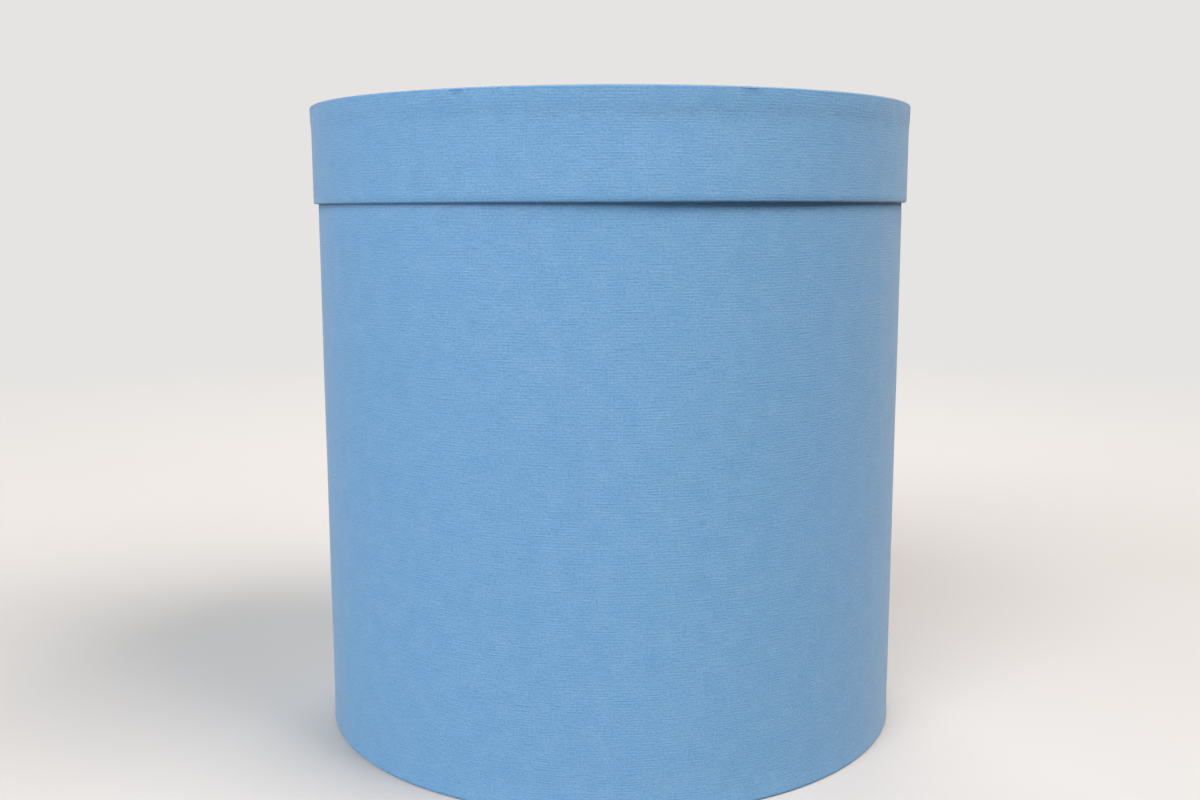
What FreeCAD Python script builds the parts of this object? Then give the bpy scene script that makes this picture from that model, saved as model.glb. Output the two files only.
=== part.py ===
import FreeCAD, Part
import math
import os

# Round flower box with a lift-off lid. Base and lid are each a rolled greyboard strip closed by a greyboard
# disc, covered outside with embossed paper and lined inside with white paper.
# Millimetres. The origin is the centre of the underside, +Z is up, and the seams are in the back half (+Y).

# Driving dimensions: the whole box
base_diameter = 250.0  # across the papered wall
total_height = 264.0  # underside to lid top
lid_depth = 39.5  # lid top to the skirt's lower edge
lid_gap = 0.5  # papered wall to the lid's lining, all round

# Driving dimensions: thickness of the stock
rolled_board = 1.0  # greyboard of the wall and of the skirt
bottom_disc = 2.0  # greyboard of the floor
top_disc = 1.5  # greyboard of the lid top
cover_paper = 0.2
lining_paper = 0.15
tape_paper = 0.15

# Driving dimensions: how the papers are cut and folded
wall_turn_in = 20.0  # cover paper glued inside the mouth
wall_band = 8.0  # part of that turn-in which the lining leaves bare
skirt_turn_in = 15.0  # cover paper glued inside the skirt
skirt_band = 5.0  # part of that turn-in which the lining leaves bare
tab_length = 12.0  # tabs of the wall paper under the floor
tab_count = 40
top_margin = 8.0  # margin of the top paper down the skirt
margin_tab_count = 48
notch_mouth = 2.4  # width of a notch between two tabs at their free edge
notch_root = 1.5  # paper left whole between the fold and a notch
rim_reveal = 0.7  # lid top to the raw upper edge of the skirt paper
bottom_inset = 4.0  # wall to the edge of the bottom paper
climb = 2.0  # run over which a paper climbs on to the edge of another
cover_lap = 12.0  # overlap where a cover paper meets itself
lining_lap = 10.0
tape_width = 30.0
tape_clear = 3.0  # tape end to the next fold or paper edge
butt_gap = 0.4  # between the two ends of a rolled strip

# Seam directions, in degrees from +X
wall_joint = 72.0
wall_lap = 90.0
wall_lining_lap = 55.0
skirt_joint = 122.0
skirt_lap = 104.0
skirt_lining_lap = 140.0

# Levels
tab_level = cover_paper  # underside of the tabs
wall_foot = tab_level + cover_paper  # underside of the wall strip and of the floor disc
floor_level = wall_foot + bottom_disc
skirt_head = total_height - cover_paper  # top of the skirt strip and of the top disc
top_under = skirt_head - top_disc
lid_rest = top_under - lining_paper  # mouth of the base, which the lid lies on
wall_head = lid_rest - cover_paper  # upper edge of the wall strip
turn_in_low = wall_head - wall_turn_in
lining_head = wall_head - wall_band
lid_foot = total_height - lid_depth
skirt_foot = lid_foot + cover_paper  # lower edge of the skirt strip
skirt_turn_in_head = skirt_foot + skirt_turn_in
skirt_lining_foot = skirt_foot + skirt_band
margin_low = skirt_head - top_margin

# Radii, from the papered wall inwards and outwards
base_out = base_diameter / 2
wall_out = base_out - cover_paper
wall_in = wall_out - rolled_board
wall_turn_in_face = wall_in - cover_paper
tab_end = wall_out - tab_length
skirt_turn_in_face = base_out + lid_gap + lining_paper
skirt_in = skirt_turn_in_face + cover_paper
skirt_out = skirt_in + rolled_board
margin_out = skirt_out + cover_paper

up = FreeCAD.Vector(0, 0, 1)
outward = FreeCAD.Vector(1, 0, 0)
centre = FreeCAD.Vector(0, 0, 0)
full_turn = 360.0


def at(radius, height):
    """Point of the section plane in which every outline is drawn."""
    return FreeCAD.Vector(radius, 0, height)


def moved_out(outline, distance):
    """The same (radius, height) corners, further from the axis by a distance."""
    return [(radius + distance, height) for radius, height in outline]


def sheet_outline(face, thickness):
    """Closed outline of a paper of even thickness that lies outside a face given from bottom to top."""
    return face + moved_out(face, thickness)[::-1]


def turned(outline, width=None, direction=0.0):
    """Solid turned about Z from a closed outline of (radius, height) corners.

    A corner with four numbers is the middle and the end of an arc. With a width, only that much of the
    circumference is made, centred on a direction in degrees.
    """
    edges = []
    here = outline[-1][-2:]
    for corner in outline:
        there = corner[-2:]
        if len(corner) == 4:
            edges.append(Part.Arc(at(*here), at(*corner[:2]), at(*there)).toShape())
        else:
            edges.append(Part.makeLine(at(*here), at(*there)))
        here = there
    face = Part.Face(Part.Wire(edges))
    if width is None:
        return face.revolve(centre, up, full_turn)
    angle = math.degrees(width / here[0])
    solid = face.revolve(centre, up, angle)
    solid.rotate(centre, up, direction - angle / 2)
    return solid


def ring(inside, outside, low, high, width=None, direction=0.0):
    """Plain ring, or a stretch of one."""
    return turned([(inside, low), (outside, low), (outside, high), (inside, high)], width, direction)


def disc(radius, low, high):
    """Flat disc between two levels."""
    return Part.makeCylinder(radius, high - low, at(0, low), up)


def fold(corner, out_sign, up_sign, ends_upright):
    """Cover paper bent round a board's corner: the middle and the end of a quarter turn."""
    radius, height = corner
    slant = cover_paper * math.sqrt(0.5)
    middle = (radius + out_sign * slant, height + up_sign * slant)
    if ends_upright:
        return middle + (radius + out_sign * cover_paper, height)
    return middle + (radius, height + up_sign * cover_paper)


def notches(root, mouth, through, count):
    """Wedges between tabs, each from a root point out through its mouth at the free edge."""
    past_mouth = 1.25
    tip = at(*root)
    far = tip + (at(*mouth) - tip) * past_mouth
    side = FreeCAD.Vector(0, notch_mouth / 2 * past_mouth, 0)
    wedge = Part.Face(Part.makePolygon([tip, far - side, far + side, tip])).extrude(through * 4 * cover_paper)
    wedge.translate(through * -2 * cover_paper)
    wedges = []
    for index in range(count):
        copy = wedge.copy()
        copy.rotate(centre, up, full_turn * index / count)
        wedges.append(copy)
    return wedges


def one_piece(*solids):
    """Stretches of one paper, glued to each other, as one solid."""
    return solids[0].fuse(list(solids[1:])).removeSplitter().Solids[0]


def rolled_strip(inside, outside, low, high, direction):
    """Greyboard strip bent into a ring, with a fine gap where its two ends meet."""
    gap = ring(inside - rolled_board, outside + rolled_board, low - climb, high + climb, butt_gap, direction)
    return ring(inside, outside, low, high).cut(gap).Solids[0]


def joint_tape(board_face, low, high, direction):
    """Tape glued inside a rolled strip, across its butt joint."""
    return ring(board_face - tape_paper, board_face, low, high, tape_width, direction)


def lining(face, lap_direction, tape, board_face, tape_direction):
    """White paper that lies inside a face, laps itself once and humps over the tape on the board."""
    inner = moved_out(face, -lining_paper)
    sheet = turned(sheet_outline(inner, lining_paper))
    lap = turned(sheet_outline(moved_out(inner, -lining_paper), lining_paper), lining_lap, lap_direction)
    hump_low = tape.BoundBox.ZMin - climb
    hump_high = tape.BoundBox.ZMax + climb
    hump_face = board_face - tape_paper - lining_paper
    hump = ring(hump_face, board_face, hump_low, hump_high, tape_width + 2 * climb, tape_direction)
    return one_piece(sheet, lap, hump).cut(tape).Solids[0]


def wall_board():
    return rolled_strip(wall_in, wall_out, wall_foot, wall_head, wall_joint)


def wall_joint_tape():
    return joint_tape(wall_in, floor_level + tape_clear, turn_in_low - climb - tape_clear, wall_joint)


def bottom_board():
    return disc(wall_in, wall_foot, floor_level)


def wall_wrap():
    """Cover paper: tabs under the foot, up the outside, over the mouth and down inside it."""
    section = [
        (tab_end, wall_foot),
        (tab_end, tab_level),
        (wall_out, tab_level),
        fold((wall_out, wall_foot), 1, -1, True),
        (base_out, wall_head),
        fold((wall_out, wall_head), 1, 1, False),
        (wall_in, lid_rest),
        fold((wall_in, wall_head), -1, 1, True),
        (wall_turn_in_face, turn_in_low),
        (wall_in, turn_in_low),
        (wall_in, wall_head),
        (wall_out, wall_head),
        (wall_out, wall_foot),
    ]
    between_tabs = notches((wall_out - notch_root, tab_level), (tab_end, tab_level), up, tab_count)
    overlap = ring(base_out, base_out + cover_paper, wall_foot, wall_head, cover_lap, wall_lap)
    return one_piece(turned(section).cut(between_tabs), overlap)


def bottom_cover():
    """Cover paper disc: over the ends of the tabs at its rim, and on the floor disc inside them."""
    rim = base_out - bottom_inset
    section = [
        (0, tab_level),
        (tab_end - climb, tab_level),
        (tab_end, 0),
        (rim, 0),
        (rim, tab_level),
        (tab_end, tab_level),
        (tab_end - climb, wall_foot),
        (0, wall_foot),
    ]
    return turned(section)


def wall_liner():
    face = [
        (wall_in, floor_level),
        (wall_in, turn_in_low - climb),
        (wall_turn_in_face, turn_in_low),
        (wall_turn_in_face, lining_head),
    ]
    return lining(face, wall_lining_lap, wall_joint_tape(), wall_in, wall_joint)


def floor_liner():
    """White paper disc, as wide as the lap in the wall lining leaves room for."""
    return disc(wall_in - 2 * lining_paper, floor_level, floor_level + lining_paper)


def skirt_board():
    return rolled_strip(skirt_in, skirt_out, skirt_foot, skirt_head, skirt_joint)


def skirt_joint_tape():
    return joint_tape(skirt_in, skirt_turn_in_head + climb + tape_clear, lid_rest - tape_clear, skirt_joint)


def top_board():
    return disc(skirt_in, top_under, skirt_head)


def top_cover():
    """Cover paper disc, its notched margin folded down over the rim."""
    section = [
        (0, skirt_head),
        (skirt_out, skirt_head),
        (skirt_out, margin_low),
        (margin_out, margin_low),
        (margin_out, skirt_head),
        fold((skirt_out, skirt_head), 1, 1, False),
        (0, total_height),
    ]
    between_tabs = notches(
        (margin_out, skirt_head - notch_root), (margin_out, margin_low), outward, margin_tab_count
    )
    return turned(section).cut(between_tabs).Solids[0]


def skirt_wrap():
    """Cover paper: from just below the rim, over the top paper's margin, down the skirt and in under it."""
    face = [
        (skirt_out, skirt_foot),
        (skirt_out, margin_low - climb),
        (margin_out, margin_low),
        (margin_out, total_height - rim_reveal),
    ]
    outside = moved_out(face, cover_paper)
    section = [
        *face,
        *outside[::-1],
        fold((skirt_out, skirt_foot), 1, -1, False),
        (skirt_in, lid_foot),
        fold((skirt_in, skirt_foot), -1, -1, True),
        (skirt_turn_in_face, skirt_turn_in_head),
        (skirt_in, skirt_turn_in_head),
        (skirt_in, skirt_foot),
    ]
    overlap = turned(sheet_outline(outside, cover_paper), cover_lap, skirt_lap)
    return one_piece(turned(section), overlap)


def skirt_liner():
    face = [
        (skirt_turn_in_face, skirt_lining_foot),
        (skirt_turn_in_face, skirt_turn_in_head),
        (skirt_in, skirt_turn_in_head + climb),
        (skirt_in, lid_rest),
    ]
    return lining(face, skirt_lining_lap, skirt_joint_tape(), skirt_in, skirt_joint)


def top_liner():
    """White paper disc under the lid top, which lies on the mouth of the base."""
    return disc(skirt_in, lid_rest, top_under)


base_pieces = [wall_board, wall_joint_tape, bottom_board, wall_wrap, bottom_cover, wall_liner, floor_liner]
lid_pieces = [skirt_board, skirt_joint_tape, top_board, top_cover, skirt_wrap, skirt_liner, top_liner]

os.makedirs("parts", exist_ok=True)
for make in base_pieces + lid_pieces:
    shape = make()
    shape.exportStep(f"parts/{make.__name__}.step")
    size = shape.optimalBoundingBox()
    print(f"{make.__name__}: {len(shape.Solids)} solid, valid {shape.isValid()}, {shape.Volume:.0f} mm3,")
    print(f"    {size.XLength:.2f} x {size.YLength:.2f} x {size.ZLength:.2f} mm")
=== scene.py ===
# %% [markdown]
# # A round flower box in linen-embossed blue paper
#
# A florist's hat box is two board cylinders: a base, and a slightly wider lid that slides down over it.
# What the eye meets is never the board but the paper glued over it. So this lesson models papers: each
# one is cut flat, scored, folded over the edges of the board and rolled round it, as the box maker does.
#
# The boards, the joint tapes and all the sizes come from a solid model of the box. It is loaded first, as
# a fixed frame, and nothing in it is moved. The papers made here take the place of its plain ones.

# %% Load the solid model
import math

import bmesh
import bpy
from mathutils import Matrix, Vector


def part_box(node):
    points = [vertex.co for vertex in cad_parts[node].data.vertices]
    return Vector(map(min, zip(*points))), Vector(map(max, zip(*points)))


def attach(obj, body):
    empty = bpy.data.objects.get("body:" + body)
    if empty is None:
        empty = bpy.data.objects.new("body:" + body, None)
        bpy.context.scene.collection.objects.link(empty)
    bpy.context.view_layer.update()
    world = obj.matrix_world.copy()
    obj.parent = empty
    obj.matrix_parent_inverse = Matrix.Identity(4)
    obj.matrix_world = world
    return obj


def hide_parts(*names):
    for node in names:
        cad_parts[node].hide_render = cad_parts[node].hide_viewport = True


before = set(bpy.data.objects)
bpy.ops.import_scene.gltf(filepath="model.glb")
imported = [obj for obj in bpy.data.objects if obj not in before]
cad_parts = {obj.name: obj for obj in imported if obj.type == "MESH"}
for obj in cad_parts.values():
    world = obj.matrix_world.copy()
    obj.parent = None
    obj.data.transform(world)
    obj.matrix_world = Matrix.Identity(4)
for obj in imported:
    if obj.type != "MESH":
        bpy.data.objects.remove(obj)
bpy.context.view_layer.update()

print("solid model loaded:", ", ".join(sorted(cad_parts)))

# %% [markdown]
# ## Sizes from the solids
#
# Every radius and level could be typed in again, but then the papers would drift from the boards as soon
# as the solid model changed. Reading the boxes of the nodes keeps them together: the highest x of a round
# piece is its radius, and its lowest and highest z are its foot and head.

# %% Read the radii and levels
mm = 0.001


def outside(node):
    """Outer radius of a round node about the box's axis."""
    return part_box(node)[1].x


def foot(node):
    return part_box(node)[0].z


def head(node):
    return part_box(node)[1].z


wall_radius = outside("wall_board")
wall_inside = outside("bottom_board")
skirt_radius = outside("skirt_board")
skirt_inside = outside("top_board")
board = wall_radius - wall_inside
cover_paper = head("wall_wrap") - head("wall_board")
lining_paper = head("floor_liner") - foot("floor_liner")
print(f"wall radius {wall_radius / mm:.2f} mm, skirt radius {skirt_radius / mm:.2f} mm")
print(f"board {board / mm:.2f} mm")
print(f"cover paper {cover_paper / mm:.2f} mm, lining paper {lining_paper / mm:.2f} mm")

# %% [markdown]
# ## The camera
#
# The view is from the front and a little above the middle, so low that the top of the lid is seen edge on
# and the foot of the box curves out of the frame. Fitting a camera to the box's outline gave where it
# stood, how far it looks down and its lens. The tiny roll is a camera held almost level by hand.

# %% Set up the camera
camera_place = Vector((-4.44, -576.6, 222.4)) * mm
looking_down = math.radians(8.41)
camera_roll = math.radians(-0.144)

camera_data = bpy.data.cameras.new("front_camera")
camera_data.sensor_width = 36
camera_data.lens = 38.92
camera = bpy.data.objects.new("front_camera", camera_data)
bpy.context.collection.objects.link(camera)
camera.location = camera_place
level_view = Matrix.Rotation(math.pi / 2 - looking_down, 3, "X")
camera.rotation_euler = (level_view @ Matrix.Rotation(camera_roll, 3, "Z")).to_euler()
bpy.context.scene.camera = camera
print(f"camera {-camera_place.y / mm:.0f} mm in front of the box's axis, lens {camera_data.lens} mm")

# %% [markdown]
# ## Colours and nodes
#
# Colours are written as the hex values that a paint chart or a screen shows. Blender computes in linear
# light, so one function converts them. A second one adds a node: its settings by name, and for each
# socket either a plain value or the output of another node. All the materials below are put together from
# those two.

# %% Helpers for materials


def colour(hex_value):
    """Linear colour with full alpha from an sRGB hex value such as 77A6D0."""
    channels = []
    for start in (0, 2, 4):
        value = int(hex_value[start:start + 2], 16) / 255
        channels.append(value / 12.92 if value <= 0.04045 else ((value + 0.055) / 1.055) ** 2.4)
    return (*channels, 1)


def add(tree, kind, sockets, **settings):
    """Add one node; sockets gives each input a value, or an output of another node to link to it."""
    node = tree.nodes.new("ShaderNode" + kind)
    for name, value in settings.items():
        setattr(node, name, value)
    for socket, value in sockets.items():
        if isinstance(value, bpy.types.NodeSocket):
            tree.links.new(value, node.inputs[socket])
        else:
            node.inputs[socket].default_value = value
    return node


def new_material(name):
    """A new material with nothing in it yet, and its node tree."""
    material = bpy.data.materials.new(name)
    material.use_nodes = True
    material.node_tree.nodes.clear()
    return material, material.node_tree


print("blue of the cover paper in linear light:", [round(c, 3) for c in colour("77A6D0")[:3]])

# %% [markdown]
# ## Linen-embossed cover paper
#
# The cover is a dyed, uncoated paper pressed between rollers with a linen pattern. Close up it has fine
# threads about a millimetre apart: strong broken ones that run round the box and weaker ones that cross
# them. The dye is slightly cloudy. An uncoated paper has a soft, wide gloss that turns pale only where
# the side of the box curves out of sight.
#
# The pattern has to follow the paper round the box and over its folds, so it can't be tied to space. Each
# paper keeps the place that every point had while it was still flat, in metres, in an attribute called
# flat_place. Noise stretched a long way along one direction and squeezed across it draws the threads
# there.

# %% Material: linen-embossed blue paper
# Uncoated dyed paper, embossed: matte, finely lined along the threads, paler at a glancing angle.
# The real threads are 0.95 mm apart. They are drawn a little coarser, so that a render can still show them.
thread_pitch = 1.05 * mm
thread_patch = (10 * mm, 1.6 * mm)
thread_wander = (60 * mm, 9 * mm)
streak = (6 * mm, 0.5 * mm)
fibre_clump = (0.9 * mm, 0.9 * mm)
cross_thread_pitch = 1.2 * mm
cross_thread_patch = (2.6 * mm, 8 * mm)
dye_cloud = 9 * mm
dye_drift = 60 * mm
emboss_depth = 0.04 * mm
# How far the threads wander, in radians of their wave, how strong the crossing ones are beside the others,
# and how much the fine streaks and the fibres add to them.
thread_wander_turn = 7.0
cross_thread_share = 0.28
streak_share = 0.5
fibre_share = 1.2
weave_low = -1.5
weave_high = 1.5


def embossed_blue_paper():
    material, tree = new_material("linen_embossed_blue_paper")
    flat = add(tree, "Attribute", {}, attribute_name="flat_place").outputs["Vector"]
    along = add(tree, "SeparateXYZ", {0: flat})

    def soft_noise(size, detail):
        """Noise whose blots are about the given width and height on the flat paper."""
        per_metre = (1 / size[0], 1 / size[1], 0)
        stretched = add(tree, "VectorMath", {0: flat, 1: per_metre}, operation="MULTIPLY")
        return add(tree, "TexNoise", {"Vector": stretched.outputs[0], "Scale": 1, "Detail": detail},
                   noise_dimensions="2D").outputs[0]

    def threads(place, pitch, patch):
        """Fine parallel lines that wander a little and stand out only in patches."""
        turn = add(tree, "Math", {0: place, 1: 2 * math.pi / pitch}, operation="MULTIPLY")
        wandering = {0: soft_noise(thread_wander, 1), 1: thread_wander_turn, 2: turn.outputs[0]}
        wander = add(tree, "Math", wandering, operation="MULTIPLY_ADD")
        line = add(tree, "Math", {0: wander.outputs[0]}, operation="SINE")
        shown = add(tree, "MapRange", {0: soft_noise(patch, 2), 1: 0.4, 2: 0.66, 3: 0.1, 4: 0.85})
        drawn = add(tree, "Math", {0: line.outputs[0], 1: shown.outputs[0]}, operation="MULTIPLY")
        return drawn.outputs[0]

    weft = threads(along.outputs[1], thread_pitch, thread_patch)
    warp = threads(along.outputs[0], cross_thread_pitch, cross_thread_patch)
    crossed = add(tree, "Math", {0: warp, 1: cross_thread_share, 2: weft}, operation="MULTIPLY_ADD")
    fine = add(tree, "MapRange", {0: soft_noise(streak, 1), 1: 0.3, 2: 0.7,
                                  3: -streak_share, 4: streak_share})
    lined = add(tree, "Math", {0: fine.outputs[0], 1: crossed.outputs[0]}, operation="ADD")
    felt = add(tree, "MapRange", {0: soft_noise(fibre_clump, 2), 1: 0.25, 2: 0.75,
                                  3: -fibre_share, 4: fibre_share})
    weave = add(tree, "Math", {0: felt.outputs[0], 1: lined.outputs[0]}, operation="ADD").outputs[0]

    clouds = soft_noise((dye_cloud, dye_cloud), 3)
    drift = soft_noise((dye_drift, dye_drift), 1)
    dye = add(tree, "Mix", {0: clouds, 6: colour("6099C7"), 7: colour("7FABD2")}, data_type="RGBA")
    hue = add(tree, "Mix", {0: drift, 6: colour("6DA1CB"), 7: colour("73A1CF")}, data_type="RGBA")
    dyed = add(tree, "Mix", {0: 0.5, 6: dye.outputs[2], 7: hue.outputs[2]}, data_type="RGBA")
    # The colour follows the bump's height: darker where the weave is low and lighter where it is high. This
    # is painted shade in the emboss's grooves and a painted highlight on its raised threads.
    groove_shade = add(tree, "MapRange", {0: weave, 1: weave_low, 2: weave_high, 3: 0.87, 4: 1.13})
    shaded = add(tree, "VectorMath", {0: dyed.outputs[2], "Scale": groove_shade.outputs[0]}, operation="SCALE")

    emboss = add(tree, "Bump", {"Strength": 0.5, "Distance": emboss_depth, "Height": weave})
    matte = add(tree, "MapRange", {0: weave, 1: weave_low, 2: weave_high, 3: 0.76, 4: 0.62})
    paper = add(tree, "BsdfPrincipled", {
        "Base Color": shaded.outputs[0], "Roughness": matte.outputs[0], "IOR": 1.45,
        "Sheen Weight": 0.42, "Sheen Roughness": 0.4, "Normal": emboss.outputs[0]})
    add(tree, "OutputMaterial", {"Surface": paper.outputs[0]})
    return material


blue_paper = embossed_blue_paper()
print("made", blue_paper.name)

# %% [markdown]
# ## The cut edge of the cover paper
#
# Where the cover paper is cut, its core shows: the dye sits mostly near the surface, so the cut is paler.
# It is a line only a fifth of a millimetre wide, but it draws every raw edge. Fine fibre noise keeps it
# from being flat.

# %% Material: cut edge
# Torn and cut fibres, hardly dyed: pale, fuzzy and without gloss.
fibre = 0.4 * mm
fuzz_height = 0.03 * mm


def cut_paper_edge():
    material, tree = new_material("cut_edge_of_blue_paper")
    place = add(tree, "TexCoord", {}).outputs["Object"]
    fibres = add(tree, "TexNoise", {"Vector": place, "Scale": 1 / fibre, "Detail": 2})
    core = add(tree, "Mix", {0: fibres.outputs[0], 6: colour("86AED2"), 7: colour("A9C6DF")},
               data_type="RGBA")
    fuzz = add(tree, "Bump", {"Strength": 0.4, "Distance": fuzz_height, "Height": fibres.outputs[0]})
    edge = add(tree, "BsdfPrincipled", {"Base Color": core.outputs[2], "Roughness": 0.9,
                                        "Normal": fuzz.outputs[0]})
    add(tree, "OutputMaterial", {"Surface": edge.outputs[0]})
    return material


blue_edge = cut_paper_edge()
print("made", blue_edge.name)

# %% [markdown]
# ## White lining paper
#
# The inside is lined with plain white offset paper. It has no pattern, but it isn't blank: its fibres lie
# in soft clouds that show as a slight mottle, and the surface is a little rough.

# %% Material: white lining paper
# Uncoated white offset paper: a soft mottle of fibre clouds, no shine.
fibre_cloud = 2.5 * mm
handling_mark = 45 * mm
handling_share = 0.35
tooth_height = 0.03 * mm


def white_lining():
    material, tree = new_material("white_offset_lining_paper")
    flat = add(tree, "Attribute", {}, attribute_name="flat_place").outputs["Vector"]
    formation = add(tree, "TexNoise", {"Vector": flat, "Scale": 1 / fibre_cloud, "Detail": 4},
                    noise_dimensions="2D")
    marks = add(tree, "TexNoise", {"Vector": flat, "Scale": 1 / handling_mark, "Detail": 2},
                noise_dimensions="2D")
    mottle = add(tree, "Mix", {0: handling_share, 2: formation.outputs[0], 3: marks.outputs[0]},
                 data_type="FLOAT")
    sheet = add(tree, "Mix", {0: mottle.outputs[0], 6: colour("E4E0D8"), 7: colour("F3F0EA")},
                data_type="RGBA")
    tooth = add(tree, "Bump", {"Strength": 0.3, "Distance": tooth_height, "Height": formation.outputs[0]})
    paper = add(tree, "BsdfPrincipled", {"Base Color": sheet.outputs[2], "Roughness": 0.8, "IOR": 1.45,
                                         "Normal": tooth.outputs[0]})
    add(tree, "OutputMaterial", {"Surface": paper.outputs[0]})
    return material


lining_white = white_lining()
print("made", lining_white.name)

# %% [markdown]
# ## Greyboard and kraft tape
#
# Both are hidden once the box is papered, and are still finished as they are: greyboard is pulped waste
# paper with dark and light flecks in it, and the joint tape is brown kraft paper whose fibres all lie
# lengthwise. They stay the solid model's own pieces, so their patterns read Object coordinates.

# %% Materials: greyboard and kraft tape
# Pulped waste board: dull, grey-brown, with flecks of old print and pale fibre.
fleck = 1.2 * mm
felt_height = 0.05 * mm
# Unbleached kraft: brown, with long fibres up the tape.
kraft_fibre_width = 0.5 * mm
kraft_fibre_length = 8 * mm
kraft_rib_height = 0.04 * mm


def flecked_greyboard():
    material, tree = new_material("flecked_greyboard")
    place = add(tree, "TexCoord", {}).outputs["Object"]
    flecks = add(tree, "TexNoise", {"Vector": place, "Scale": 1 / fleck, "Detail": 5,
                                    "Roughness": 0.75})
    spread = add(tree, "MapRange", {0: flecks.outputs[0], 1: 0.35, 2: 0.65})
    pulp = add(tree, "Mix", {0: spread.outputs[0], 6: colour("827C73"), 7: colour("9C968B")},
               data_type="RGBA")
    felt = add(tree, "Bump", {"Strength": 0.4, "Distance": felt_height, "Height": flecks.outputs[0]})
    pressed = add(tree, "BsdfPrincipled", {"Base Color": pulp.outputs[2], "Roughness": 0.85,
                                           "Normal": felt.outputs[0]})
    add(tree, "OutputMaterial", {"Surface": pressed.outputs[0]})
    return material


def kraft_paper():
    material, tree = new_material("brown_kraft_tape")
    place = add(tree, "TexCoord", {}).outputs["Object"]
    lengthwise = (1 / kraft_fibre_width, 1 / kraft_fibre_width, 1 / kraft_fibre_length)
    drawn = add(tree, "VectorMath", {0: place, 1: lengthwise}, operation="MULTIPLY")
    fibres = add(tree, "TexNoise", {"Vector": drawn.outputs[0], "Scale": 1, "Detail": 3})
    brown = add(tree, "Mix", {0: fibres.outputs[0], 6: colour("99754C"), 7: colour("BC976B")},
                data_type="RGBA")
    ribs = add(tree, "Bump", {"Strength": 0.3, "Distance": kraft_rib_height, "Height": fibres.outputs[0]})
    tape = add(tree, "BsdfPrincipled", {"Base Color": brown.outputs[2], "Roughness": 0.7,
                                        "Normal": ribs.outputs[0]})
    add(tree, "OutputMaterial", {"Surface": tape.outputs[0]})
    return material


board_finish = flecked_greyboard()
tape_finish = kraft_paper()
for node in ("wall_board", "bottom_board", "skirt_board", "top_board"):
    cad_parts[node].data.materials.clear()
    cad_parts[node].data.materials.append(board_finish)
for node in ("wall_joint_tape", "skirt_joint_tape"):
    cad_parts[node].data.materials.clear()
    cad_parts[node].data.materials.append(tape_finish)
print("boards finished as", board_finish.name, "and tapes as", tape_finish.name)

# %% [markdown]
# ## Cutting a paper flat
#
# A sheet starts as a grid standing in front of the box: x runs round the box, z up it, and its outside
# faces the viewer. Rows of points are added with Bisect wherever the paper will bend, as a scoring knife
# marks a fold. Then the flat place of every point is written down, before anything moves.

# %% Helpers: cut, score and remember the flat sheet
tiny = 0.001 * mm


def flat_sheet(name, length, low, high, columns, rows, faces_in=False):
    """A grid standing in the XZ plane, seen from the front; the outside of the paper is its -Y face."""
    bpy.ops.object.select_all(action="DESELECT")
    tilt = -math.pi / 2 if faces_in else math.pi / 2
    bpy.ops.mesh.primitive_grid_add(x_subdivisions=columns, y_subdivisions=rows, size=1,
                                    location=(0, 0, (low + high) / 2), rotation=(tilt, 0, 0))
    sheet = bpy.context.object
    sheet.name = name
    sheet.data.name = name
    sheet.scale = (length, high - low, 1)
    bpy.ops.object.transform_apply(location=True, rotation=True, scale=True)
    return sheet


def score(heights):
    """Add a row of points at each height of the sheet that is being edited."""
    for height in heights:
        bpy.ops.mesh.select_all(action="SELECT")
        bpy.ops.mesh.bisect(plane_co=(0, 0, height), plane_no=(0, 0, 1), threshold=tiny)


def remember_flat(paper, place_of):
    """Write the flat place of every point, in metres, into the attribute that the paper patterns read."""
    bpy.ops.object.mode_set(mode="OBJECT")
    places = paper.data.attributes.new("flat_place", "FLOAT_VECTOR", "POINT")
    values = []
    for point in paper.data.vertices:
        values.extend((*place_of(point.co), 0))
    places.data.foreach_set("vector", values)
    bpy.ops.object.mode_set(mode="EDIT")


def pick(paper, wanted):
    """Select the points whose flat place passes the test, and nothing else."""
    mesh = bmesh.from_edit_mesh(paper.data)
    flat = mesh.verts.layers.float_vector["flat_place"]
    bpy.ops.mesh.select_all(action="DESELECT")
    bpy.ops.mesh.select_mode(type="VERT")
    for point in mesh.verts:
        if wanted(point[flat].x, point[flat].y):
            point.select_set(True)
    mesh.select_flush_mode()
    bmesh.update_edit_mesh(paper.data)


def pick_faces(paper, wanted):
    """Select the faces whose middle passes the test while the sheet is still flat, and count them."""
    mesh = bmesh.from_edit_mesh(paper.data)
    bpy.ops.mesh.select_all(action="DESELECT")
    bpy.ops.mesh.select_mode(type="FACE")
    count = 0
    for face in mesh.faces:
        middle = face.calc_center_median()
        if wanted(middle.x, middle.z):
            face.select_set(True)
            count += 1
    bmesh.update_edit_mesh(paper.data)
    return count


print("a flat place is remembered to", tiny / mm, "mm")

# %% [markdown]
# ## Folding and rolling
#
# A fold over board is a small round, not a sharp line. It is made of a few short turns, one at each
# scored row, with everything beyond the row turning about it. Rolling is a Simple Deform bend by exactly
# the angle that the sheet's length spans, after which the paper is moved to the axis and turned until its
# overlap is at the back.

# %% Helpers: fold, roll, thicken
fold_turns = 4
smooth_below = math.radians(35)


def fold_rows(start, size, way):
    """Row heights of a right-angled fold round a corner of a given size; way is 1 up or -1 down."""
    turn = math.pi / 2 / fold_turns
    reach = sum(math.cos(turn * step) for step in range(1, fold_turns))
    return [start + way * step * size / reach for step in range(fold_turns)]


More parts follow.
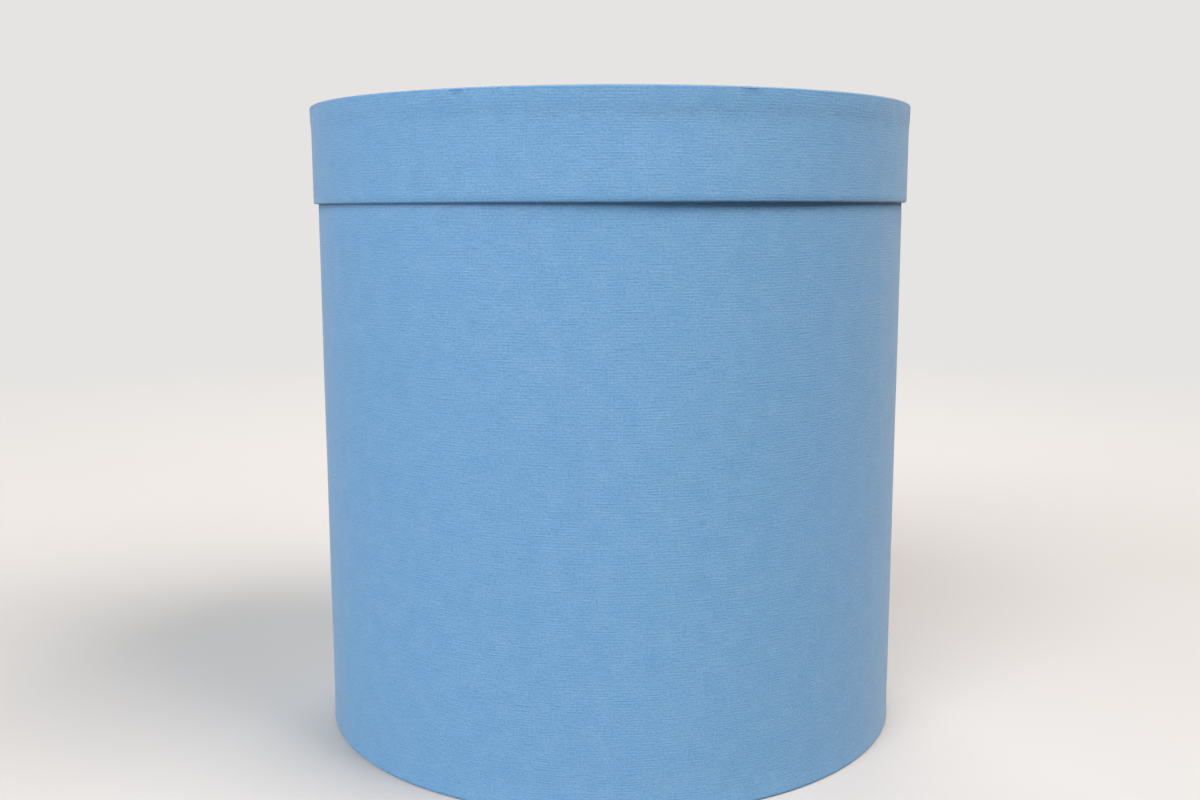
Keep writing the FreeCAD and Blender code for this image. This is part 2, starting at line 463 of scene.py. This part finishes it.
def fold(paper, rows):
    """Turn all that lies beyond each row towards the inside of the box, a little at every row."""
    way = math.copysign(1, rows[1] - rows[0])
    turn = way * math.pi / 2 / fold_turns
    mesh = bmesh.from_edit_mesh(paper.data)
    flat = mesh.verts.layers.float_vector["flat_place"]
    for row in rows:
        on_row = [point for point in mesh.verts if abs(point[flat].y - row) < tiny]
        pivot = min(on_row, key=lambda point: abs(point[flat].x)).co.copy()
        pick(paper, lambda x, height: (height - row) * way > tiny)
        bpy.ops.transform.rotate(value=turn, orient_axis="X", orient_type="GLOBAL",
                                 center_override=(0, pivot.y, pivot.z))


def roll(paper, length, radius, lap_direction):
    """Bend the sheet into a ring about the box's axis; its overlap's direction is in degrees from +X."""
    bpy.ops.object.mode_set(mode="OBJECT")
    bend = paper.modifiers.new("roll", "SIMPLE_DEFORM")
    bend.deform_method = "BEND"
    bend.deform_axis = "Z"
    bend.angle = length / radius
    bpy.ops.object.modifier_apply(modifier="roll")
    paper.location.y = -radius
    bpy.ops.object.transform_apply(location=True, rotation=False, scale=False)
    paper.rotation_euler.z = math.radians(lap_direction - 90)
    bpy.ops.object.transform_apply(location=False, rotation=True, scale=False)


def thicken(paper, thickness, face_finish, edge_finish):
    """Give the sheet its thickness on the side it faces, with the cut edges in a finish of their own."""
    paper.data.materials.append(face_finish)
    paper.data.materials.append(edge_finish)
    sheet = paper.modifiers.new("paper", "SOLIDIFY")
    sheet.thickness = thickness
    sheet.offset = 1
    sheet.material_offset_rim = 1
    bpy.ops.object.modifier_apply(modifier="paper")
    bpy.ops.object.shade_smooth_by_angle(angle=smooth_below)


def flat_x(direction, radius, lap_direction):
    """Place along a flat sheet that ends up in a direction of the rolled ring, in degrees from +X."""
    turned = (direction - lap_direction) % 360 - 180
    return math.radians(turned) * radius


print("a fold is made of", fold_turns, "turns of", 90 / fold_turns, "degrees")

# %% [markdown]
# ## The wall's cover paper
#
# One long sheet covers the wall. Its lower margin is cut into forty tabs that fold under the foot, its
# upper margin goes over the mouth and down inside, and its two ends overlap at the back. The grid is the
# sheet without its tabs. Extruding its lower edge gives the tabs in one step, and deleting one column of
# faces per tab and pinching its inner end cuts the notches.

# %% Wall wrap: cut and score
tab_count = 40
columns_per_tab = 9
tab_length = 12 * mm
mouth_turn_in = 20 * mm
wall_lap_columns = 5
wall_rows = 44
crease = 0.36 * mm
foot_crease = 0.45 * mm
notch_to_fold = 1.5 * mm
pinched = 0.02 * mm
wall_foot = foot("wall_board")
wall_head = head("wall_board")

wall_columns = tab_count * columns_per_tab
wall_column = 2 * math.pi * wall_radius / (wall_columns - wall_lap_columns)
wall_length = wall_column * wall_columns
wall_lap = wall_column * wall_lap_columns
mouth_rows = fold_rows(wall_head - crease, crease, 1)
lip_rows = fold_rows(mouth_rows[-1] + board - 2 * crease, crease, 1)
foot_rows = fold_rows(wall_foot + foot_crease, foot_crease, -1)
notch_row = foot_rows[-1] - notch_to_fold
foot_flare_rows = [wall_foot + rise * mm for rise in (9, 6.5, 4, 2, 1)]
seam_rows = [wall_head - drop * mm for drop in (4, 2.5)]

turn_in_end = lip_rows[-1] + mouth_turn_in - crease
wall_wrap = flat_sheet("wall_wrap_paper", wall_length, notch_row, turn_in_end, wall_columns, wall_rows)
bpy.ops.object.mode_set(mode="EDIT")
score(mouth_rows + lip_rows + foot_rows + foot_flare_rows + seam_rows)
print(f"wall wrap cut {wall_length / mm:.0f} mm long, {wall_columns} columns")

# %% Wall wrap: tabs and notches
bpy.ops.mesh.select_mode(type="EDGE")
bpy.ops.mesh.select_all(action="DESELECT")
sheet_mesh = bmesh.from_edit_mesh(wall_wrap.data)
for edge in sheet_mesh.edges:
    edge.select_set(all(point.co.z < notch_row + tiny for point in edge.verts))
bmesh.update_edit_mesh(wall_wrap.data)
tab_reach = tab_length - foot_crease - notch_to_fold
bpy.ops.mesh.extrude_edges_move(TRANSFORM_OT_translate={"value": (0, 0, -tab_reach)})

remember_flat(wall_wrap, lambda point: (point.x, point.z))


def wall_column_of(x):
    """Index of the column of faces at a place along the sheet."""
    return math.floor((x + wall_length / 2) / wall_column + tiny)


notch_faces = pick_faces(wall_wrap, lambda x, height: height < notch_row
                         and wall_column_of(x) % columns_per_tab == columns_per_tab // 2)
bpy.ops.mesh.delete(type="FACE")
for side in (0, 1):
    pick(wall_wrap, lambda x, height: abs(height - notch_row) < tiny
         and round((x + wall_length / 2) / wall_column) % columns_per_tab == columns_per_tab // 2 + side)
    bpy.ops.transform.translate(value=(wall_column * (0.5 - side), 0, 0))
bpy.ops.mesh.select_all(action="SELECT")
bpy.ops.mesh.remove_doubles(threshold=pinched)
print("cut", notch_faces, "notches between the tabs")

# %% [markdown]
# The overlap is a real step: the upper end lies on the lower one and stands off by a paper's thickness.
# At the mouth and the foot a double layer would be a lump, so the maker trims the lower end there and the
# upper end goes over alone. The wall also spreads a little at its foot, where the folded tabs push it
# out.

# %% Wall wrap: overlap and foot
lap_start = wall_length / 2 - wall_lap
glue_line = 0.02 * mm
lap_step = cover_paper + glue_line
edge_lift = 0.12 * mm
trim_high = seam_rows[0]
trim_low = foot_flare_rows[2]
pick_faces(wall_wrap, lambda x, height: x < -lap_start
           and (height > trim_high or height < trim_low))
bpy.ops.mesh.delete(type="FACE")
for start, stand_off in ((lap_start, lap_step), (wall_length / 2, edge_lift)):
    pick(wall_wrap, lambda x, height: x > start - wall_column / 2
         and foot_flare_rows[3] - tiny < height < seam_rows[1] + tiny)
    bpy.ops.transform.translate(value=(0, -stand_off, 0))
foot_flare = 0.25 * mm
for row in foot_flare_rows:
    pick(wall_wrap, lambda x, height: height < row + tiny)
    bpy.ops.transform.translate(value=(0, -foot_flare / len(foot_flare_rows), 0))
print(f"overlap stands off {lap_step / mm:.2f} mm, foot spreads {foot_flare / mm:.2f} mm")

# %% Wall wrap: fold, roll and thicken
wall_lap_direction = 90
fold(wall_wrap, foot_rows)
fold(wall_wrap, mouth_rows)
fold(wall_wrap, lip_rows)
clear_of_lid = foot("skirt_board") - 4 * mm
clear_of_foot = wall_foot + 12 * mm
swell_patch = 45 * mm
swell_height = 0.22 * mm
pick(wall_wrap, lambda x, height: clear_of_foot < height < clear_of_lid)
bpy.ops.object.vertex_group_assign_new()
roll(wall_wrap, wall_length, wall_radius, wall_lap_direction)

glue_swell = bpy.data.textures.new("glue_swell", "CLOUDS")
glue_swell.noise_scale = swell_patch
swell = wall_wrap.modifiers.new("swell", "DISPLACE")
swell.texture = glue_swell
swell.strength = swell_height
swell.mid_level = 0
swell.vertex_group = wall_wrap.vertex_groups[0].name
bpy.ops.object.modifier_apply(modifier="swell")
thicken(wall_wrap, cover_paper, blue_paper, blue_edge)
print("wall wrap:", len(wall_wrap.data.polygons), "faces")

# %% [markdown]
# ## Paper discs
#
# Round flat papers are drawn as half a section, point by point from the middle outwards, and spun about
# the box's axis. That suits them better than a filled circle: the section can step over another paper's
# edge or fold over a rim. The spin leaves a double seam and a bundle of points in the middle, so doubles
# are merged and the faces turned the same way before the thickness is added.

# %% Helper: spin a disc
ring_spacing = 12 * mm
disc_steps = 240


def spun_disc(name, section, steps, faces_up):
    """Spin a section of (radius, height) points, from the axis outwards, about the box's axis."""
    bpy.ops.object.select_all(action="DESELECT")
    bpy.ops.mesh.primitive_plane_add(size=1 * mm, location=(0, 0, 0))
    disc = bpy.context.object
    disc.name = name
    disc.data.name = name
    bpy.ops.object.mode_set(mode="EDIT")
    bpy.ops.mesh.select_all(action="SELECT")
    bpy.ops.mesh.merge(type="CENTER")
    bpy.ops.transform.translate(value=(section[0][0], 0, section[0][1]))
    for start, end in zip(section, section[1:]):
        step = (end[0] - start[0], 0, end[1] - start[1])
        bpy.ops.mesh.extrude_vertices_move(TRANSFORM_OT_translate={"value": step})
    bpy.ops.mesh.select_all(action="SELECT")
    bpy.ops.mesh.spin(steps=steps, angle=2 * math.pi, center=(0, 0, 0), axis=(0, 0, 1),
                      use_auto_merge=True)
    bpy.ops.mesh.select_all(action="SELECT")
    bpy.ops.mesh.remove_doubles(threshold=tiny)
    bpy.ops.mesh.normals_make_consistent(inside=False)
    top_normal = bmesh.from_edit_mesh(disc.data).faces[0].normal.z
    if (top_normal > 0) != faces_up:
        bpy.ops.mesh.flip_normals()
    return disc


def rings(radius, height):
    """Section points of a flat disc from the axis out to a radius, evenly spaced."""
    count = round(radius / ring_spacing)
    return [(radius * index / count, height) for index in range(count + 1)]


print(f"a flat disc has a ring of points about every {ring_spacing / mm:.0f} mm")

# %% [markdown]
# ## The paper under the foot
#
# A blue disc closes the underside and hides the ends of the tabs. It lies on the bottom board in the
# middle and climbs over the tabs near its rim, so their edges print through as a ring.

# %% Bottom cover
bottom_rim = 121 * mm
tab_ends = wall_radius - tab_length
climb = 2 * mm
bottom_section = rings(tab_ends - climb, wall_foot)
bottom_section += [(tab_ends, wall_foot - cover_paper), (tab_ends + climb, wall_foot - cover_paper)]
bottom_section += [(bottom_rim, wall_foot - cover_paper)]
bottom_cover = spun_disc("bottom_cover_paper", bottom_section, disc_steps, faces_up=False)
remember_flat(bottom_cover, lambda point: (point.x, point.y))
bpy.ops.object.mode_set(mode="OBJECT")
thicken(bottom_cover, cover_paper, blue_paper, blue_edge)
bottom_level = bottom_cover.bound_box[0][2]
print("bottom cover:", len(bottom_cover.data.polygons), f"faces, lowest at {bottom_level / mm:.3f} mm")

# %% [markdown]
# ## Lining the base
#
# The wall lining is rolled like the cover but faces inwards, so its sheet starts turned round. It runs
# over the raw edge of the turned-in cover, which lifts it by a paper's thickness, humps over the tape on
# the board's joint, and laps itself at the back. A white disc lies on the floor.

# %% Wall lining
lining_lap = 10 * mm
lining_column = 3 * mm
lining_row = 8 * mm
lining_lap_climb = 2 * mm
tape_width = 30 * mm
wall_lining_lap = 55
wall_joint = 72
turn_in_edge = wall_head - mouth_turn_in


def lining_sheet(name, radius, node, tape_node, joint, lap_direction, step_rows, covers_turn_in):
    """A white sheet rolled inside a board, lifted over the turned-in cover and over the joint tape."""
    length = 2 * math.pi * radius + lining_lap
    columns = round(length / lining_column)
    rows = round((head(node) - foot(node)) / lining_row)
    lining = flat_sheet(name, length, foot(node), head(node), columns, rows, faces_in=True)
    tape_low = foot(tape_node)
    tape_high = head(tape_node)
    bpy.ops.object.mode_set(mode="EDIT")
    score(step_rows + [tape_low - climb, tape_low, tape_high, tape_high + climb])
    remember_flat(lining, lambda point: (point.x, point.z))
    pick(lining, covers_turn_in)
    bpy.ops.transform.translate(value=(0, cover_paper + glue_line, 0))
    tape_middle = flat_x(joint, radius, lap_direction)
    pick(lining, lambda x, height: abs(x - tape_middle) < tape_width / 2 + climb
         and tape_low - tiny < height < tape_high + tiny)
    bpy.ops.transform.translate(value=(0, lining_paper + glue_line, 0))
    pick(lining, lambda x, height: x > length / 2 - lining_lap - lining_lap_climb)
    bpy.ops.transform.translate(value=(0, lining_paper + glue_line, 0))
    roll(lining, length, radius, lap_direction)
    thicken(lining, lining_paper, lining_white, lining_white)
    return lining


wall_lining = lining_sheet("wall_lining_paper", wall_inside, "wall_liner", "wall_joint_tape", wall_joint,
                           wall_lining_lap, [turn_in_edge - climb, turn_in_edge],
                           lambda x, height: height > turn_in_edge - tiny)
print("wall lining:", len(wall_lining.data.polygons), "faces")

# %% Floor lining
# The floor's paper stands up a little along its edge, where the wall's lining holds it.
loose_edge = 3 * mm
floor_lift = 0.1 * mm
floor_radius = outside("floor_liner")
floor_level = foot("floor_liner")
floor_section = rings(floor_radius - loose_edge, floor_level) + [(floor_radius, floor_level + floor_lift)]
floor_lining = spun_disc("floor_lining_paper", floor_section, disc_steps, faces_up=True)
remember_flat(floor_lining, lambda point: (point.x, point.y))
bpy.ops.object.mode_set(mode="OBJECT")
thicken(floor_lining, lining_paper, lining_white, lining_white)
print("floor lining:", len(floor_lining.data.polygons), "faces")

# %% [markdown]
# ## The top paper of the lid
#
# The top disc is covered first. Its paper folds down over the rim, where the margin is notched to lie
# flat. The fold is loose and bulges a little, so it is the thin bright line along the top of the lid. The
# joint between the top board and the ring around it prints through as a very shallow groove.

# %% Top cover
margin_tabs = 48
steps_per_margin_tab = 8
margin_reach = 7 * mm
skirt_head = head("skirt_board")
margin_low = skirt_head - margin_reach
rim_round = 0.42 * mm
rim_bulge = 0.27 * mm
rim_pinch = 0.85 * mm
joint_groove = 0.05 * mm
groove_inner = skirt_inside - 1.2 * mm
groove_outer = skirt_inside + 0.4 * mm
margin_root = 2 * mm
top_section = rings(groove_inner, skirt_head)
top_section += [(skirt_inside, skirt_head - joint_groove), (groove_outer, skirt_head)]
for turn in range(fold_turns + 1):
    over = math.pi / 2 * turn / fold_turns
    fold_radius = skirt_radius + rim_bulge - rim_round * (1 - math.sin(over))
    top_section.append((fold_radius, skirt_head - rim_round * (1 - math.cos(over))))
top_section += [(skirt_radius, skirt_head - rim_pinch), (skirt_radius, margin_low)]
top_cover = spun_disc("top_cover_paper", top_section, margin_tabs * steps_per_margin_tab, faces_up=True)


def opened_flat(point):
    """Place of a point of the top paper before its margin was folded down."""
    radius = math.hypot(point.x, point.y)
    grown = 1 + max(0, skirt_head - point.z) / max(radius, tiny)
    return point.x * grown, point.y * grown


remember_flat(top_cover, opened_flat)
mesh = bmesh.from_edit_mesh(top_cover.data)
bpy.ops.mesh.select_all(action="DESELECT")
bpy.ops.mesh.select_mode(type="FACE")
step_angle = 2 * math.pi / (margin_tabs * steps_per_margin_tab)
for face in mesh.faces:
    middle = face.calc_center_median()
    step = math.floor(math.atan2(middle.y, middle.x) % (2 * math.pi) / step_angle)
    face.select_set(step % steps_per_margin_tab == 0 and middle.z < skirt_head - margin_root)
bmesh.update_edit_mesh(top_cover.data)
bpy.ops.mesh.delete(type="FACE")
bpy.ops.object.mode_set(mode="OBJECT")
thicken(top_cover, cover_paper, blue_paper, blue_edge)
top_level = top_cover.bound_box[1][2]
print("top cover:", len(top_cover.data.polygons), f"faces, highest at {top_level / mm:.3f} mm")

# %% [markdown]
# ## The skirt's cover paper
#
# The skirt paper is the narrow band seen on the lid. Its lower margin folds round the bottom edge of the
# board and up inside. Its top edge is cut, not folded: it lies over the top paper's margin and stops just
# short of the rim. The margin under it pushes it out a little, and where the notches are it sinks back
# in.

# %% Skirt wrap: cut and score
skirt_columns = 720
skirt_turn_in = 15 * mm
rim_left_bare = 0.55 * mm
skirt_foot = foot("skirt_board")
skirt_lap_direction = 104
skirt_lap_columns = 11
skirt_column = 2 * math.pi * skirt_radius / (skirt_columns - skirt_lap_columns)
skirt_length = skirt_column * skirt_columns
raw_top = head("top_cover") - rim_left_bare
hem_crease = 0.48 * mm
hem_drop = 0.12 * mm
hem_rows = fold_rows(skirt_foot - hem_drop + hem_crease, hem_crease, -1)
hem_inner_rows = fold_rows(hem_rows[-1] - (board - 2 * hem_crease), hem_crease, -1)
hem_edge = hem_inner_rows[-1] - skirt_turn_in + hem_crease
# Each step is its place above the margin's end, and how far the paper stands further off from there up.
margin_steps = [(-3.0, 0.03), (-2.1, 0.05), (-1.2, 0.07), (-0.3, 0.08),
                (0.8, 0.08), (1.8, 0.06), (3.45, 0.04), (4.45, 0.03)]
margin_rows = [margin_low + rise * mm for rise, stand_off in margin_steps]
rim_rows = [raw_top - drop * mm for drop in (0.35, 0.8, 1.4, 2.2, 3.2)]
skirt_trim_row = skirt_foot + 4 * mm
skirt_seam_row = skirt_foot + 2.5 * mm
plain_rows = [skirt_foot + rise * mm for rise in (6.5, 9, 12, 15, 18, 21, 24, 26.5)]
skirt_wrap = flat_sheet("skirt_wrap_paper", skirt_length, hem_edge, raw_top, skirt_columns, 1)
bpy.ops.object.mode_set(mode="EDIT")
score(hem_rows + hem_inner_rows + plain_rows + margin_rows + rim_rows)
score([skirt_trim_row, skirt_seam_row])
remember_flat(skirt_wrap, lambda point: (point.x, point.z))
print(f"skirt wrap cut {skirt_length / mm:.0f} mm long and {(raw_top - hem_edge) / mm:.1f} mm high")

# %% Skirt wrap: over the margin and its notches
for row, (rise, stand_off) in zip(margin_rows, margin_steps):
    pick(skirt_wrap, lambda x, height: height > row - tiny)
    bpy.ops.transform.translate(value=(0, -stand_off * mm, 0))


def from_notch(x):
    """Index of the nearest notch of the top paper's margin, and how far x is from it round the lid."""
    direction = skirt_lap_direction - 180 + math.degrees(x / skirt_radius)
    pitch = 360 / margin_tabs
    notch_middle = pitch / steps_per_margin_tab / 2
    index = round((direction - notch_middle) / pitch)
    return index, abs(math.radians(direction - notch_middle - index * pitch)) * skirt_radius


# The paper sinks by three depths, in an order that looks irregular and is the same each time.
notch_sinks = (0.04 * mm, 0.1 * mm, 0.18 * mm)
notch_half_width = 1.3 * mm
notch_top = raw_top - 1.5 * mm
sink_reach = 4.5 * mm


def sink_of(notch):
    return notch_sinks[notch * 7 % 5 % len(notch_sinks)]


for sink in notch_sinks:
    pick(skirt_wrap, lambda x, height: margin_low - tiny < height < notch_top
         and sink_of(from_notch(x)[0]) == sink and from_notch(x)[1] < notch_half_width)
    bpy.ops.transform.translate(value=(0, sink, 0), use_proportional_edit=True,
                                proportional_edit_falloff="SMOOTH", proportional_size=sink_reach)
print("sunk over", margin_tabs, "notches")

# %% [markdown]
# Nobody glues a raw edge perfectly. In five places along the front the top edge has come away from the
# rim by a fraction of a millimetre, and these small lips catch the light and cast a dark dash.
# Proportional editing lifts one stretch of the edge and lets the paper around it follow.

# %% Skirt wrap: lifted places along the raw edge
# Each is its direction from the front in degrees, its length, and how far it lifts, in millimetres.
lifted_places = [(-25, 4.0, 0.85), (-18, 1.5, 0.45), (-3, 3.0, 0.3), (22, 6.5, 0.4), (41, 3.5, 0.3)]
lip_reach = 2.2 * mm
front = -90
for from_front, lip_length, lift in lifted_places:
    lip_x = flat_x(front + from_front, skirt_radius, skirt_lap_direction)
    pick(skirt_wrap, lambda x, height: height > raw_top - tiny and abs(x - lip_x) < lip_length * mm / 2)
    bpy.ops.transform.translate(value=(0, -lift * mm / 4, -lift * mm), use_proportional_edit=True,
                                proportional_edit_falloff="SMOOTH", proportional_size=lip_reach)

# One wrinkle runs down from the edge and leans to the left.
wrinkle_from_front = -17
wrinkle_starts = 0.8 * mm
wrinkle_ends = 5.5 * mm
wrinkle_lean = 0.55
wrinkle_height = 0.1 * mm
wrinkle_reach = 1.6 * mm
wrinkle_half_width = skirt_column * 0.75
wrinkle_top = flat_x(front + wrinkle_from_front, skirt_radius, skirt_lap_direction)
pick(skirt_wrap, lambda x, height: wrinkle_starts < raw_top - height < wrinkle_ends
     and abs(x - wrinkle_top + (raw_top - height) * wrinkle_lean) < wrinkle_half_width)
bpy.ops.transform.translate(value=(0, -wrinkle_height, 0), use_proportional_edit=True,
                            proportional_edit_falloff="SHARP", proportional_size=wrinkle_reach)
print("lifted the edge in", len(lifted_places), "places, with one wrinkle below them")

# %% [markdown]
# The two ends overlap by a whole number of columns, so that the trimmed corner of the lower end stops
# exactly where the upper end begins. Then the hem is folded. The lid isn't perfectly round: around the
# front its hem stands off the base by up to 0.7 mm more, and the shadow under it widens there.
# Proportional editing gives that soft swell. The part that is folded inside is hidden meanwhile, because
# it would be dragged along.

# %% Skirt wrap: overlap and folds
skirt_lap_start = skirt_length / 2 - skirt_column * skirt_lap_columns
pick_faces(skirt_wrap, lambda x, height: x < -skirt_lap_start and height < skirt_trim_row)
bpy.ops.mesh.delete(type="FACE")
for start, stand_off in ((skirt_lap_start, lap_step), (skirt_length / 2, edge_lift)):
    pick(skirt_wrap, lambda x, height: x > start - skirt_column / 2 and height > skirt_seam_row - tiny)
    bpy.ops.transform.translate(value=(0, -stand_off, 0))
fold(skirt_wrap, hem_rows)
fold(skirt_wrap, hem_inner_rows)
print("skirt wrap overlaps by", skirt_lap_columns, "columns and is folded round the hem")

# %% Skirt wrap: stand the hem off, roll and thicken
# Each stretch is its direction from the front in degrees, and how far the hem stands off, in millimetres.
hem_gapes = [(-8, 0.2), (8, 0.2), (22, 0.42)]
gape_length = 50 * mm
gape_reach = 30 * mm
pick(skirt_wrap, lambda x, height: height < hem_rows[-1] - tiny)
bpy.ops.mesh.hide()
for from_front, gape in hem_gapes:
    gape_x = flat_x(front + from_front, skirt_radius, skirt_lap_direction)
    pick(skirt_wrap, lambda x, height: hem_rows[-1] - tiny < height < hem_rows[0] + tiny
         and abs(x - gape_x) < gape_length / 2)
    bpy.ops.transform.translate(value=(0, -gape * mm, 0), use_proportional_edit=True,
                                proportional_edit_falloff="SMOOTH", proportional_size=gape_reach)
bpy.ops.mesh.reveal(select=False)
roll(skirt_wrap, skirt_length, skirt_radius, skirt_lap_direction)
thicken(skirt_wrap, cover_paper, blue_paper, blue_edge)
print("skirt wrap:", len(skirt_wrap.data.polygons), "faces")

# %% [markdown]
# ## Lining the lid
#
# Inside, the lid is lined like the base: a white band round the skirt, over the raw edge of the folded-up
# hem and the joint tape, and a white disc under the top board.

# %% Skirt lining and top lining
skirt_lining_lap = 140
skirt_joint = 122
hem_top = skirt_foot + skirt_turn_in
skirt_lining = lining_sheet("skirt_lining_paper", skirt_inside, "skirt_liner", "skirt_joint_tape",
                            skirt_joint, skirt_lining_lap, [hem_top, hem_top + climb],
                            lambda x, height: height < hem_top + tiny)
top_drop = 0.05 * mm
top_radius = outside("top_liner")
ceiling = head("top_liner")
top_lining_section = rings(top_radius - loose_edge, ceiling) + [(top_radius, ceiling - top_drop)]
top_lining = spun_disc("top_lining_paper", top_lining_section, disc_steps, faces_up=False)
remember_flat(top_lining, lambda point: (point.x, point.y))
bpy.ops.object.mode_set(mode="OBJECT")
thicken(top_lining, lining_paper, lining_white, lining_white)
print("skirt lining:", len(skirt_lining.data.polygons), "faces")
print("top lining:", len(top_lining.data.polygons), "faces")

# %% [markdown]
# ## Hang the papers on the box
#
# Each paper stands for one node of the solid model and rides on that node's body. When the lid lifts, its
# papers go with it.

# %% Bodies, nodes and slots
papers = [
    (wall_wrap, "base", "wall_wrap", "blue_cover_paper"),
    (bottom_cover, "base", "bottom_cover", "blue_cover_paper"),
    (wall_lining, "base", "wall_liner", "white_lining_paper"),
    (floor_lining, "base", "floor_liner", "white_lining_paper"),
    (top_cover, "lid", "top_cover", "blue_cover_paper"),
    (skirt_wrap, "lid", "skirt_wrap", "blue_cover_paper"),
    (skirt_lining, "lid", "skirt_liner", "white_lining_paper"),
    (top_lining, "lid", "top_liner", "white_lining_paper"),
]
for paper, body, node, slot_name in papers:
    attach(paper, body)
    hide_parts(node)
print("papers in place:", len(papers))

# %% [markdown]
# ## Floor and light
#
# The light is that of a bright room. Four very large windows stand far off, so that the box is as bright
# at its foot as at its lid: a low, cool one at the left, a higher one left of the middle, a high, warmer
# one at the right and one behind. There is little other light, so the lid's narrow step throws a dark
# line on the base, and the line widens towards the right, where the light comes from higher up. Placing
# the sky as one even dome would be simpler, but then that line would be the same all along.
#
# The floor is pale and plain. Where it is looked at, it fades into the colour of the backdrop some way
# off, so that no horizon crosses the picture. Near the box it keeps the shadow. To light that bounces off
# it, it is darker, or it would fill the shadow under the lid.

# %% Floor
backdrop_colour = colour("E6E4E2")
floor_reach = 5.0
fade_from = 0.45
fade_to = 1.5
smudge_size = 250 * mm


def looked_at(tree, ray):
    """1 where a surface is seen, directly, in a gloss or through glass; 0 for the light that it gives."""
    seen = add(tree, "Math", {0: ray.outputs["Is Camera Ray"], 1: ray.outputs["Is Glossy Ray"]},
               operation="MAXIMUM")
    through = add(tree, "Math", {0: seen.outputs[0], 1: ray.outputs["Is Transmission Ray"]},
                  operation="MAXIMUM")
    return through.outputs[0]


floor = spun_disc("pale_floor", [(0, 0), (floor_reach, 0)], 96, faces_up=True)
bpy.ops.object.mode_set(mode="OBJECT")
floor_finish, tree = new_material("pale_matt_floor")
place = add(tree, "TexCoord", {}).outputs["Object"]
smudge = add(tree, "TexNoise", {"Vector": place, "Scale": 1 / smudge_size, "Detail": 2})
pale = add(tree, "Mix", {0: smudge.outputs[0], 6: colour("C5C3C1"), 7: colour("CAC8C6")},
           data_type="RGBA")
ray = add(tree, "LightPath", {})
bounced = add(tree, "Mix", {0: ray.outputs["Is Diffuse Ray"], 6: pale.outputs[2], 7: colour("565452")},
              data_type="RGBA")
matt = add(tree, "BsdfPrincipled", {"Base Color": bounced.outputs[2], "Roughness": 0.8,
                                    "Specular IOR Level": 0.2})
away = add(tree, "VectorMath", {0: place}, operation="LENGTH")
faded = add(tree, "MapRange", {0: away.outputs["Value"], 1: fade_from, 2: fade_to},
            interpolation_type="SMOOTHSTEP")
far_and_seen = add(tree, "Math", {0: faded.outputs[0], 1: looked_at(tree, ray)}, operation="MULTIPLY")
haze = add(tree, "Emission", {"Color": backdrop_colour, "Strength": 1})
blended = add(tree, "MixShader", {0: far_and_seen.outputs[0], 1: matt.outputs[0], 2: haze.outputs[0]})
add(tree, "OutputMaterial", {"Surface": blended.outputs[0]})
floor.data.materials.append(floor_finish)
print("floor", 2 * floor_reach, "m across")

# %% Room light
room_light = 0.06
world = bpy.data.worlds.new("bright_room")
bpy.context.scene.world = world
world.use_nodes = True
tree = world.node_tree
tree.nodes.clear()
ray = add(tree, "LightPath", {})
room = add(tree, "Background", {"Color": colour("FFFFFF"), "Strength": room_light})
surroundings = add(tree, "Background", {"Color": backdrop_colour, "Strength": 1})
either = add(tree, "MixShader", {0: looked_at(tree, ray), 1: room.outputs[0], 2: surroundings.outputs[0]})
add(tree, "OutputWorld", {"Surface": either.outputs[0]})
print("room light", room_light)

# %% Light from four windows
# Each window is its direction from the front and its height, in degrees, its width in metres, its power
# in watts and its tint.
windows = [(-60, 14, 16.8, 3750, "EFF8FF"), (-25, 40, 16.8, 5800, "FFFFFF"),
           (66, 48, 16.8, 7730, "FFF5EE"), (180, 30, 20.0, 4070, "FFFFFF")]
window_distance = 28.0
aimed_at = Vector((0, 0, 0.15))
for from_front, height, width, power, tint in windows:
    window_data = bpy.data.lights.new("window", "AREA")
    window_data.size = width
    window_data.energy = power
    window_data.color = colour(tint)[:3]
    window = bpy.data.objects.new("window", window_data)
    bpy.context.collection.objects.link(window)
    around = math.radians(from_front)
    up = math.radians(height)
    towards = Vector((math.sin(around) * math.cos(up), -math.cos(around) * math.cos(up), math.sin(up)))
    window.location = towards * window_distance + aimed_at
    window.rotation_euler = (-towards).to_track_quat("-Z", "Y").to_euler()

bpy.context.scene.view_settings.view_transform = "Standard"
print(len(windows), "windows at", window_distance, "m")
